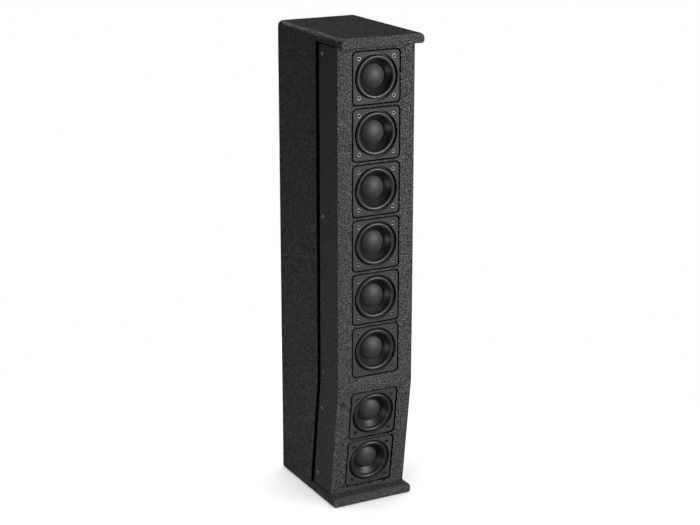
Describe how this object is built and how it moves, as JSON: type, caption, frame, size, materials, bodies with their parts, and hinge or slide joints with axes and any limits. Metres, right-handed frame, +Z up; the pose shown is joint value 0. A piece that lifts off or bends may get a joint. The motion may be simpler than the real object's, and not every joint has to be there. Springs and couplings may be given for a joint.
{
  "type": "column loudspeaker",
  "caption": "Slim passive PA column: textured wooden cabinet with small full-range drivers in a line, the lower ones aimed down, and overhanging end plates.",
  "frame": {"origin": "on the floor, at the middle of the bounding box's width and depth", "axes": "+Z up, front towards -Y (the drivers face -Y), +X to the viewer's right when looking at the front"},
  "size_m": [0.142, 0.226, 0.766],
  "materials": {
    "coating": "black textured coating sprayed over plywood, with a fine pebbled grain",
    "plywood": "bare birch plywood",
    "frame_steel": "black satin pressed steel",
    "rubber": "matte butyl rubber",
    "cone_paper": "coated paper cone and dust cap, semi-matte",
    "ferrite": "dark ferrite magnet between blackened steel plates",
    "socket_plastic": "glass-filled black nylon",
    "panel_metal": "black powder-coated sheet",
    "circuit_board": "green solder mask on glass-epoxy board",
    "copper": "enamelled copper winding",
    "foam": "dark grey acoustic wadding",
    "cable": "black cable jacket",
    "screw_steel": "zinc-plated steel"
  },
  "bodies": {
    "cabinet": {"top_panel": "coating", "bottom_panel": "coating", "side_panel_left": "coating", "side_panel_right": "coating", "rear_panel": "coating", "upper_baffle": "coating", "lower_baffle": "coating", "cross_brace": "plywood", "side_screw_left_1": "screw_steel", "side_screw_left_2": "screw_steel", "side_screw_left_3": "screw_steel", "side_screw_left_4": "screw_steel", "side_screw_left_5": "screw_steel", "side_screw_right_1": "screw_steel", "side_screw_right_2": "screw_steel", "side_screw_right_3": "screw_steel", "side_screw_right_4": "screw_steel", "side_screw_right_5": "screw_steel", "driver_1_frame": "frame_steel", "driver_1_motor": "ferrite", "driver_1_surround": "rubber", "driver_2_frame": "frame_steel", "driver_2_motor": "ferrite", "driver_2_surround": "rubber", "driver_3_frame": "frame_steel", "driver_3_motor": "ferrite", "driver_3_surround": "rubber", "driver_4_frame": "frame_steel", "driver_4_motor": "ferrite", "driver_4_surround": "rubber", "driver_5_frame": "frame_steel", "driver_5_motor": "ferrite", "driver_5_surround": "rubber", "driver_6_frame": "frame_steel", "driver_6_motor": "ferrite", "driver_6_surround": "rubber", "driver_7_frame": "frame_steel", "driver_7_motor": "ferrite", "driver_7_surround": "rubber", "driver_8_frame": "frame_steel", "driver_8_motor": "ferrite", "driver_8_surround": "rubber", "connector_panel": "panel_metal", "speaker_socket_in": "socket_plastic", "speaker_socket_link": "socket_plastic", "crossover_board": "circuit_board", "crossover_inductor": "copper", "crossover_capacitor": "socket_plastic", "damping_mat": "foam", "input_cable": "cable", "driver_loom": "cable"},
    "diaphragm_1": {"driver_1_diaphragm": "cone_paper"},
    "diaphragm_2": {"driver_2_diaphragm": "cone_paper"},
    "diaphragm_3": {"driver_3_diaphragm": "cone_paper"},
    "diaphragm_4": {"driver_4_diaphragm": "cone_paper"},
    "diaphragm_5": {"driver_5_diaphragm": "cone_paper"},
    "diaphragm_6": {"driver_6_diaphragm": "cone_paper"},
    "diaphragm_7": {"driver_7_diaphragm": "cone_paper"},
    "diaphragm_8": {"driver_8_diaphragm": "cone_paper"}
  },
  "joints": [
    {"name": "driver_1_stroke", "type": "slide", "parent": "cabinet", "child": "diaphragm_1", "axis": [0, -1, 0], "range_m": [-0.002, 0.002], "stiffness_N_per_m": 1000},
    {"name": "driver_2_stroke", "type": "slide", "parent": "cabinet", "child": "diaphragm_2", "axis": [0, -1, 0], "range_m": [-0.002, 0.002], "stiffness_N_per_m": 1000},
    {"name": "driver_3_stroke", "type": "slide", "parent": "cabinet", "child": "diaphragm_3", "axis": [0, -1, 0], "range_m": [-0.002, 0.002], "stiffness_N_per_m": 1000},
    {"name": "driver_4_stroke", "type": "slide", "parent": "cabinet", "child": "diaphragm_4", "axis": [0, -1, 0], "range_m": [-0.002, 0.002], "stiffness_N_per_m": 1000},
    {"name": "driver_5_stroke", "type": "slide", "parent": "cabinet", "child": "diaphragm_5", "axis": [0, -1, 0], "range_m": [-0.002, 0.002], "stiffness_N_per_m": 1000},
    {"name": "driver_6_stroke", "type": "slide", "parent": "cabinet", "child": "diaphragm_6", "axis": [0, -1, 0], "range_m": [-0.002, 0.002], "stiffness_N_per_m": 1000},
    {"name": "driver_7_stroke", "type": "slide", "parent": "cabinet", "child": "diaphragm_7", "axis": [0, -0.9903, -0.1392], "range_m": [-0.002, 0.002], "stiffness_N_per_m": 1000},
    {"name": "driver_8_stroke", "type": "slide", "parent": "cabinet", "child": "diaphragm_8", "axis": [0, -0.9903, -0.1392], "range_m": [-0.002, 0.002], "stiffness_N_per_m": 1000}
  ]
}
